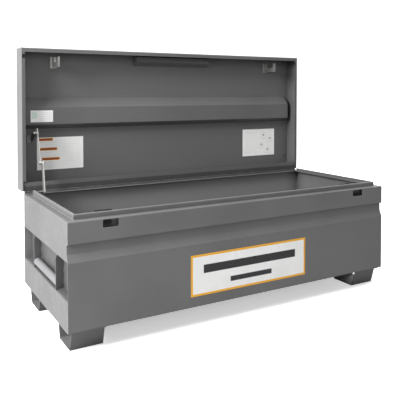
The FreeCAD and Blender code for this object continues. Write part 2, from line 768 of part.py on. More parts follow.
def stay_lid_pin():
    """Stepped pin of the stay's upper pivot."""
    pivot = (HINGE_Y - STAY_HEAD_FORWARD, HINGE_Z + STAY_HEAD_ABOVE)
    plate_low, plate_high = STAY_PLATE_SPAN
    journal_low = STAY_UPPER_SPAN[0] - STAY_SIDE_PLAY
    journal_high = STAY_UPPER_SPAN[1] + STAY_SIDE_PLAY
    return turned_post(
        (
            (7.0, plate_low - 8.0, plate_low - FIT),
            (JOURNAL_RADIUS - FIT, plate_low - FIT, plate_high + FIT),
            (7.0, plate_high + FIT, journal_low),
            (JOURNAL_RADIUS, journal_low, journal_high),
            (7.0, journal_high, journal_high + 3.0),
        ),
        pivot,
    )


# ---------------------------------------------------------------- assembly
def chest_nodes():
    """Sub-parts fixed to the box."""
    nodes = {
        "front_panel": front_panel(),
        "back_panel": back_panel(),
        "floor_panel": floor_panel(),
        "front_plate": front_plate(),
        "hinge_leaf_body": hinge_leaf(REAR_FLANGE_Z, 0),
        "hinge_pin": hinge_pin(),
        "stay_mount": stay_mount(),
    }
    gusset_rear = BODY_DEPTH - GUSSET_FROM_FRONT - GUSSET_SHEET
    for name, sign in SIDES:
        nodes["end_panel_" + name] = end_panel(sign)
        nodes["foot_front_" + name] = foot(sign, False)
        nodes["foot_rear_" + name] = foot(sign, True)
        nodes["handle_gusset_front_" + name] = gusset(sign, GUSSET_FROM_FRONT)
        nodes["handle_gusset_rear_" + name] = gusset(sign, gusset_rear)
        nodes["handle_grip_" + name] = grip(sign)
        nodes["lock_pocket_" + name] = lock_pocket(sign)
    return nodes


def lid_nodes():
    """Sub-parts of the lid, turned open."""
    face = LID_INSIDE_Z - STIFFENER_DEPTH
    right_label = HALF - LABEL_FROM_RIGHT - LABEL_LENGTH
    shut = {
        "lid_top": lid_top(),
        "lid_front": lid_front(),
        "lid_front_hem": lid_front_hem(),
        "lid_rear": lid_rear(),
        "lid_hinge_rail": lid_hinge_rail(),
        "lid_stiffener": lid_stiffener(),
        "lid_front_channel": lid_front_channel(),
        "hinge_leaf_lid": hinge_leaf(LID_REAR_FLANGE_Z - LEAF_SHEET, 1),
        "stay_lid_bracket": stay_lid_bracket(),
        "stay_lid_pin": stay_lid_pin(),
        "label_left": lid_label(left_x(LABEL_FROM_LEFT), LABEL_LENGTH, LABEL_FROM_HINGE,
                                LABEL_HEIGHT, LID_INSIDE_Z),
        "label_right": lid_label(right_label, LABEL_LENGTH, LABEL_FROM_HINGE,
                                 LABEL_HEIGHT, LID_INSIDE_Z),
        "label_small": lid_label(left_x(SMALL_LABEL_FROM_LEFT), SMALL_LABEL_LENGTH,
                                 SMALL_LABEL_FROM_HINGE, SMALL_LABEL_HEIGHT, face),
    }
    for name, sign in SIDES:
        shut["lid_end_" + name] = lid_end(sign)
        shut["lock_staple_" + name] = lock_staple(sign)
    return {name: opened(shape) for name, shape in shut.items()}


def stay_nodes():
    """The two links of the stay, each with its half of the knee."""
    return {
        "stay_lower_link": stay_lower_link(),
        "stay_knee_rivet": knee_rivet(STAY_LOWER_SPAN, 3.0, 4.0),
        "stay_upper_link": stay_upper_link(),
        "stay_knee_boss": knee_rivet(STAY_UPPER_SPAN, 6.0, 3.4),
    }


os.makedirs("parts", exist_ok=True)
for group in (chest_nodes(), lid_nodes(), stay_nodes()):
    for node, shape in group.items():
        shape.translate(Vector(0, -Y_MIDDLE, 0))
        shape.exportStep(os.path.join("parts", node + ".step"))
        print(node, shape.ShapeType, len(shape.Solids), shape.isValid(), round(shape.Volume))
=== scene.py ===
import math
import random

import bmesh
import bpy
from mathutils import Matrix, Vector


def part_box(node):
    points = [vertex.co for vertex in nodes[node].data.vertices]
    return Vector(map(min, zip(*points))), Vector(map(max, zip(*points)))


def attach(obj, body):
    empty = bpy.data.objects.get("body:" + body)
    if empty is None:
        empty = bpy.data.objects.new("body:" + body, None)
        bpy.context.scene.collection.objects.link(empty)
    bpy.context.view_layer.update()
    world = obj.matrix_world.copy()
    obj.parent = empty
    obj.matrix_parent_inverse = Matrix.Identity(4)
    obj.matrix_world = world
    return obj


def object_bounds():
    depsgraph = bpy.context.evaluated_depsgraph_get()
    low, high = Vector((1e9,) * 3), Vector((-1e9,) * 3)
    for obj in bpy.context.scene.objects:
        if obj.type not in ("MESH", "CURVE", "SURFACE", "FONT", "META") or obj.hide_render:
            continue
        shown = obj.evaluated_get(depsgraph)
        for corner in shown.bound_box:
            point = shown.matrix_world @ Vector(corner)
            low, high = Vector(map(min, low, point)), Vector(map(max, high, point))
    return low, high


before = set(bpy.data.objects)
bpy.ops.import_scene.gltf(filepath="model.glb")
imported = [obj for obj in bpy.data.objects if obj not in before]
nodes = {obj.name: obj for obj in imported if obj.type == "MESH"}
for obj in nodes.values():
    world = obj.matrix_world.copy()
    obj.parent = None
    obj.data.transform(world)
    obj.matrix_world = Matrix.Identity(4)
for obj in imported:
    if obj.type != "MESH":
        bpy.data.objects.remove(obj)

cad_low, cad_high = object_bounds()

# ---------------------------------------------------------------- sizes and colours
CAMERA_PLACE = (-1.5956, -2.6933, 1.0873)
CAMERA_YAW = 30.10          # degrees from +Y towards +X
CAMERA_PITCH = 1.80         # degrees down
CAMERA_LENS = 51.34
CAMERA_SHIFT = -0.2245

COAT = (0.135, 0.135, 0.137)
# darker copy of the coat: painted shade on the lid's inner parts, welds, front hem and hinge rail
COAT_SHADED = (0.108, 0.108, 0.110)
# lighter copy of the coat: painted light on the outside of the lid's end skirts
COAT_LID_END_LIT = (0.148, 0.148, 0.150)
ZINC = (0.62, 0.62, 0.60)
WHITE = (0.86, 0.86, 0.85)
ORANGE = (0.82, 0.40, 0.015)
RUST_ORANGE = (0.30, 0.062, 0.012)
INK = (0.022, 0.022, 0.024)
GREY_INK = (0.48, 0.49, 0.50)

RECESS_FACE = 0.9065        # outside of the end panels, from the middle
RECESS_HEAD = 0.3880
LID_FACE = 0.4295           # outside of the open lid's top
LID_END_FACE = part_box("lid_end_right")[1][0]

FLOOR_GLOW = 0.50                   # near the chest; 1 further out
FLOOR_BOUNCE = (0.40, 0.40, 0.40)   # what the floor reflects on to the chest
WORLD_LIGHT = 0.20

random.seed(7)


# ---------------------------------------------------------------- node helpers
class Nodes:
    """Short ways to add shader nodes to one material."""

    def __init__(self, name):
        self.material = bpy.data.materials.new(name)
        self.material.use_nodes = True
        self.tree = self.material.node_tree
        self.shader = self.tree.nodes["Principled BSDF"]
        where = self.tree.nodes.new("ShaderNodeTexCoord")
        self.place = where.outputs["Object"]
        split = self.tree.nodes.new("ShaderNodeSeparateXYZ")
        self.tree.links.new(self.place, split.inputs[0])
        self.x, self.y, self.z = split.outputs

    def link(self, value, socket):
        if isinstance(value, bpy.types.NodeSocket):
            self.tree.links.new(value, socket)
        elif isinstance(value, tuple) and len(value) == 3 and socket.type == "RGBA":
            socket.default_value = (*value, 1)
        else:
            socket.default_value = value

    def math(self, operation, *values, clamp=False):
        node = self.tree.nodes.new("ShaderNodeMath")
        node.operation = operation
        node.use_clamp = clamp
        for value, socket in zip(values, node.inputs):
            self.link(value, socket)
        return node.outputs[0]

    def scaled(self, x, y, z):
        """The object's coordinates stretched along each axis."""
        node = self.tree.nodes.new("ShaderNodeVectorMath")
        node.operation = "MULTIPLY"
        self.link(self.place, node.inputs[0])
        node.inputs[1].default_value = (x, y, z)
        return node.outputs[0]

    def noise(self, scale, detail=3.0, rough=0.5, place=None):
        node = self.tree.nodes.new("ShaderNodeTexNoise")
        self.link(place or self.place, node.inputs["Vector"])
        node.inputs["Scale"].default_value = scale
        node.inputs["Detail"].default_value = detail
        node.inputs["Roughness"].default_value = rough
        return node.outputs["Fac"]

    def grain(self, scale, place=None):
        node = self.tree.nodes.new("ShaderNodeTexVoronoi")
        node.feature = "SMOOTH_F1"
        self.link(place or self.place, node.inputs["Vector"])
        node.inputs["Scale"].default_value = scale
        return node.outputs["Distance"]

    def ramp(self, value, low, high, out_low=0.0, out_high=1.0):
        node = self.tree.nodes.new("ShaderNodeMapRange")
        node.interpolation_type = "SMOOTHSTEP"
        self.link(value, node.inputs["Value"])
        self.link(low, node.inputs["From Min"])
        self.link(high, node.inputs["From Max"])
        self.link(out_low, node.inputs["To Min"])
        self.link(out_high, node.inputs["To Max"])
        return node.outputs["Result"]

    def mix(self, factor, a, b):
        node = self.tree.nodes.new("ShaderNodeMix")
        node.data_type = "RGBA"
        self.link(factor, node.inputs["Factor"])
        self.link(a, node.inputs["A"])
        self.link(b, node.inputs["B"])
        return node.outputs["Result"]

    def edges(self, radius):
        """0 on flat faces and 1 on edges tighter than the radius."""
        rounded = self.tree.nodes.new("ShaderNodeBevel")
        rounded.samples = 4
        rounded.inputs["Radius"].default_value = radius
        geometry = self.tree.nodes.new("ShaderNodeNewGeometry")
        dot = self.tree.nodes.new("ShaderNodeVectorMath")
        dot.operation = "DOT_PRODUCT"
        self.link(rounded.outputs[0], dot.inputs[0])
        self.link(geometry.outputs["Normal"], dot.inputs[1])
        return self.ramp(dot.outputs["Value"], 0.97, 0.80)

    def facing(self, axis):
        """How far the surface faces along one world axis, -1 to 1."""
        geometry = self.tree.nodes.new("ShaderNodeNewGeometry")
        split = self.tree.nodes.new("ShaderNodeSeparateXYZ")
        self.link(geometry.outputs["Normal"], split.inputs[0])
        return split.outputs[axis]

    def open_air(self, distance):
        """1 in the open and less in corners and hollows."""
        node = self.tree.nodes.new("ShaderNodeAmbientOcclusion")
        node.samples = 4
        node.inputs["Distance"].default_value = distance
        return node.outputs["AO"]

    def bump(self, *layers):
        """Bump from (height, strength, distance) layers, each on top of the last."""
        normal = None
        for height, strength, distance in layers:
            node = self.tree.nodes.new("ShaderNodeBump")
            node.inputs["Strength"].default_value = strength
            node.inputs["Distance"].default_value = distance
            self.link(height, node.inputs["Height"])
            if normal is not None:
                self.link(normal, node.inputs["Normal"])
            normal = node.outputs[0]
        self.link(normal, self.shader.inputs["Normal"])

    def rect(self, across, up, low, high, soft=0.0006):
        """1 inside a rectangle given by two corners, with a short soft edge."""
        sides = [
            self.ramp(across, low[0] - soft, low[0] + soft),
            self.ramp(across, high[0] + soft, high[0] - soft),
            self.ramp(up, low[1] - soft, low[1] + soft),
            self.ramp(up, high[1] + soft, high[1] - soft),
        ]
        mask = sides[0]
        for side in sides[1:]:
            mask = self.math("MULTIPLY", mask, side)
        return mask

    def disc(self, across, up, centre, radius, soft=0.0006):
        """1 inside a circle."""
        dx = self.math("SUBTRACT", across, centre[0])
        dz = self.math("SUBTRACT", up, centre[1])
        far = self.math("SQRT", self.math("ADD", self.math("MULTIPLY", dx, dx),
                                          self.math("MULTIPLY", dz, dz)))
        return self.ramp(far, radius + soft, radius - soft)

    def rules(self, up, pitch, thick, start):
        """Thin level lines, one every pitch."""
        phase = self.math("FRACT", self.math("DIVIDE", self.math("SUBTRACT", up, start), pitch))
        return self.math("LESS_THAN", phase, thick / pitch)


def powder_coat(name, colour, scuffs=0.5, wear_and_highlight=0.38, corner_shade=0.45, painted_shading_mask=None, shade=0.50):
    """Fine-textured powder coat on sheet steel, a little rubbed on its edges, with painted highlights
    on its edges, painted shade in corners and an optional mask of painted shade or light.
    """
    n = Nodes(name)
    cloud = n.noise(2.2, 4.0)
    patch = n.noise(17.0, 5.0, 0.6)
    speck = n.noise(1400.0, 2.0)
    darker = tuple(c * 0.93 for c in colour)
    lighter = tuple(c * 1.07 for c in colour)
    tone = n.mix(n.ramp(cloud, 0.32, 0.68), darker, lighter)
    tone = n.mix(n.math("MULTIPLY", n.ramp(patch, 0.52, 0.78), 0.10), tone,
                 tuple(c * 1.25 for c in colour))
    tone = n.mix(n.math("MULTIPLY", n.ramp(speck, 0.58, 0.80), 0.14), tone,
                 tuple(c * 0.62 for c in colour))
    streak = n.noise(26.0, 3.0, 0.6, n.scaled(0.25, 0.25, 3.2))
    scuff = n.math("MULTIPLY", n.ramp(streak, 0.66, 0.74), n.ramp(patch, 0.55, 0.70))
    tone = n.mix(n.math("MULTIPLY", scuff, 0.10 * scuffs), tone, (0.42, 0.42, 0.42))
    # edges made lighter: rubbed paint, and painted highlight where the bends catch the light
    worn_and_lit = n.math("MULTIPLY", n.edges(0.006) if wear_and_highlight else 0.0,
                  n.ramp(n.noise(45.0, 5.0, 0.7), 0.22, 0.60))
    tone = n.mix(n.math("MULTIPLY", worn_and_lit, wear_and_highlight), tone, tuple(min(1, c * 2.2) for c in colour))
    # painted shade or light: the coat scaled by the shade factor where the mask is, darker below 1
    # and lighter above 1
    if painted_shading_mask:
        tone = n.mix(painted_shading_mask(n), tone, tuple(c * shade for c in colour))
    # painted shade: the coat darkened in corners and recesses where less light reaches
    corner = n.ramp(n.open_air(0.10), 0.90, 0.35)
    tone = n.mix(n.math("MULTIPLY", corner, corner_shade), tone, tuple(c * 0.25 for c in colour))
    n.link(tone, n.shader.inputs["Base Color"])
    rough = n.ramp(patch, 0.30, 0.72, 0.42, 0.56)
    rough = n.math("SUBTRACT", rough, n.math("MULTIPLY", worn_and_lit, 0.10), clamp=True)
    n.link(rough, n.shader.inputs["Roughness"])
    n.shader.inputs["Specular IOR Level"].default_value = 0.45
    n.bump((n.noise(1.6, 2.0), 0.10, 0.004), (n.grain(420.0), 0.16, 0.0004), (speck, 0.20, 0.0002))
    return n.material


def end_painted_shade(n):
    """Painted shade in the handle recess and on the inner side of an end panel."""
    away = n.math("ABSOLUTE", n.x)
    recess = n.math("MULTIPLY", n.ramp(away, RECESS_FACE - 0.004, RECESS_FACE - 0.016),
                    n.ramp(n.z, RECESS_HEAD, RECESS_HEAD - 0.004))
    inward = n.math("MULTIPLY", n.facing(0), n.math("SIGN", n.x))
    inside = n.ramp(inward, -0.2, -0.7)
    both = n.math("MAXIMUM", n.math("MULTIPLY", recess, 0.80), n.math("MULTIPLY", inside, 0.70))
    return n.math("MULTIPLY", both, n.ramp(n.noise(7.0, 4.0, 0.6), 0.10, 0.55, 0.70, 1.0))


def back_inside(n):
    """Painted light on the inner side of the back panel."""
    return n.ramp(n.facing(1), -0.2, -0.7)


def lid_inside(n):
    """Painted shade on the inner side of the lid's top."""
    return n.ramp(n.y, LID_FACE - 0.0007, LID_FACE - 0.0013)


def lid_end_inside(n):
    """Painted shade on the inner sides of the lid's end skirts, with their hems."""
    return n.ramp(n.math("ABSOLUTE", n.x), LID_END_FACE - 0.0007, LID_END_FACE - 0.0013)


def zinc_plate(name, colour):
    """Zinc-plated steel: drawn lines, cloudy passivation and small dull spots."""
    n = Nodes(name)
    drawn = n.noise(90.0, 4.0, 0.6, n.scaled(1.0, 6.0, 0.7))
    cloud = n.noise(38.0, 4.0, 0.6)
    spot = n.noise(260.0, 2.0)
    tone = n.mix(n.ramp(cloud, 0.30, 0.70), tuple(c * 0.80 for c in colour), colour)
    tone = n.mix(n.math("MULTIPLY", n.ramp(cloud, 0.55, 0.72), 0.25), tone, (0.70, 0.66, 0.52))
    tone = n.mix(n.math("MULTIPLY", n.ramp(spot, 0.62, 0.76), 0.35), tone,
                 tuple(c * 0.45 for c in colour))
    n.link(tone, n.shader.inputs["Base Color"])
    n.shader.inputs["Metallic"].default_value = 0.85
    n.link(n.ramp(drawn, 0.25, 0.75, 0.28, 0.50), n.shader.inputs["Roughness"])
    n.bump((drawn, 0.12, 0.0003), (spot, 0.10, 0.0002))
    return n.material


def printed(name, low, high, paint):
    """White printed sheet, slightly uneven, with what paint adds to it."""
    n = Nodes(name)
    cloud = n.noise(9.0, 4.0, 0.6)
    fibre = n.noise(700.0, 2.0)
    tone = n.mix(n.ramp(cloud, 0.30, 0.70), WHITE, tuple(c * 0.95 for c in WHITE))
    tone = n.mix(n.math("MULTIPLY", n.ramp(fibre, 0.55, 0.75), 0.08), tone, (0.62, 0.62, 0.62))
    tone = paint(n, tone, low, high)
    rim = n.rect(n.x, n.z, (low.x + 0.0016, low.z + 0.0016), (high.x - 0.0016, high.z - 0.0016),
                 0.0012)
    tone = n.mix(n.math("MULTIPLY", n.math("SUBTRACT", 1.0, rim), 0.25), tone, (0.34, 0.34, 0.33))
    n.link(tone, n.shader.inputs["Base Color"])
    n.link(n.ramp(cloud, 0.3, 0.7, 0.26, 0.40), n.shader.inputs["Roughness"])
    n.bump((n.noise(14.0, 2.0), 0.10, 0.0010), (fibre, 0.06, 0.0001))
    return n.material


def paint_plate(n, tone, low, high):
    """Orange border round the edge, and two plain dark bars."""
    def inner(inset):
        return n.rect(n.x, n.z, (low.x + inset, low.z + inset), (high.x - inset, high.z - inset))
    band = n.math("SUBTRACT", 1.0, inner(0.0105))
    tone = n.mix(band, tone, ORANGE)
    middle = (low.x + high.x) / 2
    wide = high.x - low.x
    tall = high.z - low.z
    for share, centre, height in ((0.80, 0.635, 0.205), (0.36, 0.275, 0.125)):
        at = low.z + tall * centre
        bar = n.rect(n.x, n.z, (middle - wide * share / 2, at - tall * height / 2),
                     (middle + wide * share / 2, at + tall * height / 2))
        tone = n.mix(bar, tone, INK)
    return tone


def paint_bars(n, tone, low, high):
    """Three orange bars down the left side, and pale grey rules beside and below them."""
    wide = high.x - low.x
    tall = high.z - low.z
    area = n.rect(n.x, n.z, (low.x + wide * 0.05, low.z + tall * 0.06),
                  (low.x + wide * 0.93, high.z - tall * 0.05))
    lines = n.math("MULTIPLY", n.rules(n.z, 0.0105, 0.0030, low.z), area)
    broken = n.ramp(n.noise(1.0, 3.0, 0.7, n.scaled(70.0, 1.0, 8.0)), 0.30, 0.42)
    tone = n.mix(n.math("MULTIPLY", n.math("MULTIPLY", lines, broken), 0.32), tone, GREY_INK)
    for start, end, up in ((0.02, 0.34, 0.935), (0.05, 0.43, 0.640), (0.10, 0.48, 0.335)):
        bar_low = (low.x + wide * start, low.z + tall * (up - 0.045))
        bar_high = (low.x + wide * end, low.z + tall * (up + 0.045))
        tone = n.mix(n.rect(n.x, n.z, bar_low, bar_high), tone, ORANGE)
        inner_low = (bar_low[0] + 0.003, bar_low[1] + 0.0022)
        inner_high = (bar_high[0] - 0.003, bar_high[1] - 0.0022)
        tone = n.mix(n.rect(n.x, n.z, inner_low, inner_high), tone, RUST_ORANGE)
    return tone


def paint_sketches(n, tone, low, high):
    """Pale grey rules on the left half and small dots, rings and strokes on the right."""
    wide = high.x - low.x
    tall = high.z - low.z
    area = n.rect(n.x, n.z, (low.x + wide * 0.08, low.z + tall * 0.12),
                  (low.x + wide * 0.46, high.z - tall * 0.10))
    lines = n.math("MULTIPLY", n.rules(n.z, 0.012, 0.0028, low.z), area)
    tone = n.mix(n.math("MULTIPLY", lines, 0.35), tone, GREY_INK)
    for across, up in ((0.65, 0.77), (0.86, 0.64), (0.59, 0.41), (0.78, 0.22)):
        centre = (low.x + wide * across, low.z + tall * up)
        ring = n.math("SUBTRACT", n.disc(n.x, n.z, centre, 0.019),
                      n.disc(n.x, n.z, centre, 0.0165))
        tone = n.mix(n.math("MULTIPLY", ring, 0.45), tone, GREY_INK)
        tone = n.mix(n.math("MULTIPLY", n.disc(n.x, n.z, centre, 0.0075), 0.85), tone,
                     (0.30, 0.30, 0.30))
        stroke = n.rect(n.x, n.z, (centre[0] - 0.030, centre[1] - 0.0255),
                        (centre[0] + 0.024, centre[1] - 0.0230))
        tone = n.mix(n.math("MULTIPLY", stroke, 0.55), tone, GREY_INK)
    return tone


def paint_small(n, tone, low, high):
    """A pale green square at the left and grey rules across the rest."""
    wide = high.x - low.x
    tall = high.z - low.z
    square = n.rect(n.x, n.z, (low.x + wide * 0.05, low.z + tall * 0.30),
                    (low.x + wide * 0.30, high.z - tall * 0.10))
    tone = n.mix(n.math("MULTIPLY", square, 0.55), tone, (0.46, 0.62, 0.55))
    area = n.rect(n.x, n.z, (low.x + wide * 0.36, low.z + tall * 0.10),
                  (low.x + wide * 0.95, high.z - tall * 0.10))
    lines = n.math("MULTIPLY", n.rules(n.z, 0.0095, 0.0028, low.z), area)
    return n.mix(n.math("MULTIPLY", lines, 0.50), tone, GREY_INK)


# ---------------------------------------------------------------- CAD nodes
def soften(obj, bevel):
    """Rounds the cut edges of a CAD node and shades its bends smoothly."""
    weld = obj.modifiers.new("weld", "WELD")
    weld.merge_threshold = 0.00002
    if bevel:
        edge = obj.modifiers.new("edge", "BEVEL")
        edge.width = bevel
        edge.segments = 2
        edge.limit_method = "ANGLE"
        edge.angle_limit = math.radians(50)
        edge.harden_normals = False
    split = obj.modifiers.new("split", "EDGE_SPLIT")
    split.split_angle = math.radians(32)
    normals = obj.modifiers.new("normals", "WEIGHTED_NORMAL")
    normals.mode = "FACE_AREA"
    normals.weight = 85
    for polygon in obj.data.polygons:
        polygon.use_smooth = True


def finish_node(name, material, bevel):
    obj = nodes[name]
    obj.data.materials.clear()
    obj.data.materials.append(material)
    soften(obj, bevel)


coat = powder_coat("coat_outside", COAT)
# painted shade: the lid's inner parts and their welds take the darker copy of the coat
coat_lid = powder_coat("coat_lid", COAT_SHADED, 0.3)
# painted shade in the handle recess, in corners and on the inner side, and painted highlights on the
# edges
coat_ends = powder_coat("coat_ends", COAT, 0.8, wear_and_highlight=0.85, corner_shade=0.80, painted_shading_mask=end_painted_shade)
# painted light: the inner side of the back panel made lighter
coat_back = powder_coat("coat_back", COAT, 0.6, painted_shading_mask=back_inside, shade=1.50)
# painted shade on the inner side of the lid's top
coat_lid_top = powder_coat("coat_lid_top", COAT, 0.3, painted_shading_mask=lid_inside, shade=0.84)
# painted light on the outside of the lid's end skirts, painted shade on their inner sides
coat_lid_ends = powder_coat("coat_lid_ends", COAT_LID_END_LIT, 0.6, wear_and_highlight=0.6, painted_shading_mask=lid_end_inside,
                            shade=0.60)
coat_skirt = powder_coat("coat_lid_skirt", COAT, 0.4, wear_and_highlight=0)
# painted highlight: a lighter copy of the coat on the grips, where they catch the light
coat_grip_lit = powder_coat("coat_grip_lit", (0.18, 0.18, 0.185), 1.0)
# painted shade: a darker copy of the coat on the handle gussets and their welds in the recess
coat_handle_shaded = powder_coat("coat_handle_shaded", (0.105, 0.105, 0.107), 0.8)
coat_feet = powder_coat("coat_feet", COAT, 1.0)
zinc = zinc_plate("zinc_hardware", ZINC)
zinc_dull = zinc_plate("zinc_dull", (0.20, 0.20, 0.195))
zinc_lock = zinc_plate("zinc_staple", (0.40, 0.40, 0.39))
# painted shade: a near-black copy of the coat on the hinge, its rivets and the lock pockets
coat_dark = powder_coat("coat_shaded", (0.052, 0.052, 0.053), 0.2)

# painted shade: the lid's front hem and hinge rail take the darker copy of the coat
coat_shaded_hem = powder_coat("coat_shaded_hem", COAT_SHADED, 0.3, wear_and_highlight=0)

CUT_EDGE = 0.0005       # bevel on a sheet's cut edges
FORMED_EDGE = 0.0008
HARDWARE_EDGE = 0.0006

# the first row whose beginning fits a node's name gives its material and bevel
FINISHES = (
    ("foot", coat_feet, FORMED_EDGE),
    ("end_panel", coat_ends, CUT_EDGE),
    ("back_panel", coat_back, CUT_EDGE),
    ("handle_grip", coat_grip_lit, 0),
    ("handle", coat_handle_shaded, CUT_EDGE),
    ("lid_top", coat_lid_top, 0),
    ("lid_end", coat_lid_ends, CUT_EDGE),
    ("lid_front_hem", coat_shaded_hem, 0),
    ("lid_front_channel", coat_lid, CUT_EDGE),
    ("lid_front", coat_skirt, 0),
    ("lid_rear", coat_skirt, 0),
    ("lid_hinge_rail", coat_shaded_hem, 0),
    ("lid_", coat_lid, CUT_EDGE),
    ("hinge", coat_dark, 0),
    ("lock_pocket", coat_dark, CUT_EDGE),
    ("lock_staple", zinc_lock, HARDWARE_EDGE),
    ("stay_mount", zinc_dull, HARDWARE_EDGE),
    ("stay_lid_bracket", zinc_dull, HARDWARE_EDGE),
    ("stay", zinc, HARDWARE_EDGE),
    ("", coat, CUT_EDGE),
)
printed_nodes = {
    "front_plate": paint_plate,
    "label_left": paint_bars,
    "label_right": paint_sketches,
    "label_small": paint_small,
}
for name in nodes:
    if name in printed_nodes:
        low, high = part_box(name)
        material = printed("print_" + name, Vector(low), Vector(high), printed_nodes[name])
        nodes[name].data.materials.clear()
        nodes[name].data.materials.append(material)
    else:
        _, material, bevel = next(row for row in FINISHES if name.startswith(row[0]))
        finish_node(name, material, bevel)


# ---------------------------------------------------------------- small pieces
RIVET = (0.0036, 0.0012)    # radius and height
RIVET_COUNT = 16
RIVET_INSET = 0.055         # from the hinge's ends
RIVET_FROM_EDGE = 0.0115


def spaced(start, end, count):
    """Evenly spaced places from start to end."""
    return [start + (end - start) * i / (count - 1) for i in range(count)]


def new_piece(name, mesh, material, body):
    mesh.validate()
    for polygon in mesh.polygons:
        polygon.use_smooth = True
    obj = bpy.data.objects.new(name, mesh)
    bpy.context.scene.collection.objects.link(obj)
    mesh.materials.append(material)
    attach(obj, body)
    return obj


def add_bead(bm, start, end, radius, facing):
    """A weld bead: a half-round seam with overlapping ripples and uneven width."""
    start = Vector(start)
    end = Vector(end)
    along = (end - start).normalized()
    up = Vector(facing).normalized()
    side = along.cross(up)
    steps = max(6, int((end - start).length / (radius * 0.45)))
    rings = []
    for i in range(steps + 1):
        share = i / steps
        centre = start.lerp(end, share)
        taper = min(1.0, 5 * share + 0.25, 5 * (1 - share) + 0.25)
        ripple = 0.86 + 0.14 * math.sin(i * 2.1) + random.uniform(-0.05, 0.05)
        size = radius * taper * ripple
        ring = []
        for k in range(7):
            turn = math.pi * k / 6
            point = centre + side * math.cos(turn) * size + up * math.sin(turn) * size * 0.72
            ring.append(bm.verts.new(point - up * radius * 0.05))
        rings.append(ring)
    for a, b in zip(rings, rings[1:]):
        for k in range(6):
            bm.faces.new((a[k], a[k + 1], b[k + 1], b[k]))
        bm.faces.new((a[6], a[0], b[0], b[6]))
    bm.faces.new(rings[0])
    bm.faces.new(rings[-1][::-1])


def add_dome(bm, centre, axis, radius, height, flat=0.35):
    """A domed head, turned about its axis, with a small shoulder at its foot."""
    axis = Vector(axis).normalized()
    side = axis.orthogonal().normalized()
    other = axis.cross(side)
    centre = Vector(centre)
    profile = [(radius, -height * 0.10), (radius, height * 0.22), (radius * 0.94, height * 0.42)]
    for k in range(1, 5):
        turn = math.pi / 2 * k / 5
        profile.append((radius * 0.94 * math.cos(turn), height * (0.42 + 0.58 * math.sin(turn))))
    profile.append((radius * flat * 0.4, height))
    rings = []
    for r, h in profile:
        rings.append([bm.verts.new(centre + axis * h + (side * math.cos(a) + other * math.sin(a)) * r)
                      for a in (math.tau * i / 16 for i in range(16))])
    for a, b in zip(rings, rings[1:]):
        for i in range(16):
            j = (i + 1) % 16
            bm.faces.new((a[i], a[j], b[j], b[i]))
    bm.faces.new(rings[0][::-1])
    bm.faces.new(rings[-1])


def piece_from(name, build, material, body):
    bm = bmesh.new()
    build(bm)
    bmesh.ops.recalc_face_normals(bm, faces=bm.faces)
    mesh = bpy.data.meshes.new(name)
    bm.to_mesh(mesh)
    bm.free()
    return new_piece(name, mesh, material, body)


def foot_welds(bm):
    """Stitches along the flanges of each foot."""
    for name in ("foot_front_left", "foot_front_right", "foot_rear_left", "foot_rear_right"):
        low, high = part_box(name)
        for y, out in ((low[1], -1), (high[1], 1)):
            if abs(y) > cad_high[1] - 0.12:
                continue
            for k in (0.16, 0.50, 0.84):
                x = low[0] + (high[0] - low[0]) * k
                add_bead(bm, (x - 0.016, y, high[2] - 0.0032), (x + 0.016, y, high[2] - 0.0032),
                         0.0034, (0, out, 0.6))


def handle_welds(bm):
    """Fillets where the gussets meet the recess wall, and round the ends of the grips."""
    for side, sign in (("left", -1), ("right", 1)):
        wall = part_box("handle_gusset_front_" + side)
        inner = wall[1][0] if sign < 0 else wall[0][0]
        for end in ("front", "rear"):
            low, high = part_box("handle_gusset_%s_%s" % (end, side))
            for y, out in ((low[1], -1), (high[1], 1)):
                for k in (0.22, 0.52, 0.82):
                    z = low[2] + (high[2] - low[2]) * k
                    add_bead(bm, (inner, y, z - 0.013), (inner, y, z + 0.013), 0.0030,
                             (sign, out, 0))
        low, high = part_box("handle_grip_" + side)
        middle = ((low[0] + high[0]) / 2, (low[2] + high[2]) / 2)
        radius = (high[2] - low[2]) / 2
        for y, out in ((low[1] + 0.0008, 1), (high[1] - 0.0008, -1)):
            for k in range(12):
                a = math.tau * k / 12
                b = math.tau * (k + 1.15) / 12
                edge = radius - 0.0004
                p = (middle[0] + edge * math.cos(a), y, middle[1] + edge * math.sin(a))
                q = (middle[0] + edge * math.cos(b), y, middle[1] + edge * math.sin(b))
                if min(p[0] * sign, q[0] * sign) < sign * middle[0] - radius * 0.75:
                    continue
                if max(abs(p[0]), abs(q[0])) > abs(middle[0]) + radius * 0.9:
                    continue
                turn = (a + b) / 2
                add_bead(bm, p, q, 0.0026, (math.cos(turn), out * 0.6, math.sin(turn)))


def staple_welds(bm):
    """Fillets where each staple meets its pad."""
    for side in ("left", "right"):
        low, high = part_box("lock_staple_" + side)
        middle = (low[0] + high[0]) / 2
        y = high[1] - 0.0040
        for out in (-1, 1):
            x = middle + out * 0.0031
            add_bead(bm, (x, y, low[2] + 0.008), (x, y, high[2] - 0.008), 0.0028, (out, -1, 0))


def spot_welds(bm):
    """Shallow round marks along the two flanges of the stiffener."""
    low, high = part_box("lid_stiffener")
    for z in (low[2] + 0.0105, high[2] - 0.0062):
        for x in spaced(low[0] + 0.04, high[0] - 0.04, 24):
            add_dome(bm, (x, high[1] - 0.0021, z), (0, -1, 0), 0.0030, 0.0006)


def hinge_rivets(bm, body):
    """Domed rivets along one leaf of the hinge."""
    low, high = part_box("hinge_leaf_" + body)
    for x in spaced(low[0] + RIVET_INSET, high[0] - RIVET_INSET, RIVET_COUNT):
        if body == "body":
            add_dome(bm, (x, low[1] + RIVET_FROM_EDGE, low[2] + 0.0023), (0, 0, 1), *RIVET)
        else:
            add_dome(bm, (x, low[1] + 0.0053, high[2] - RIVET_FROM_EDGE), (0, -1, 0), *RIVET)


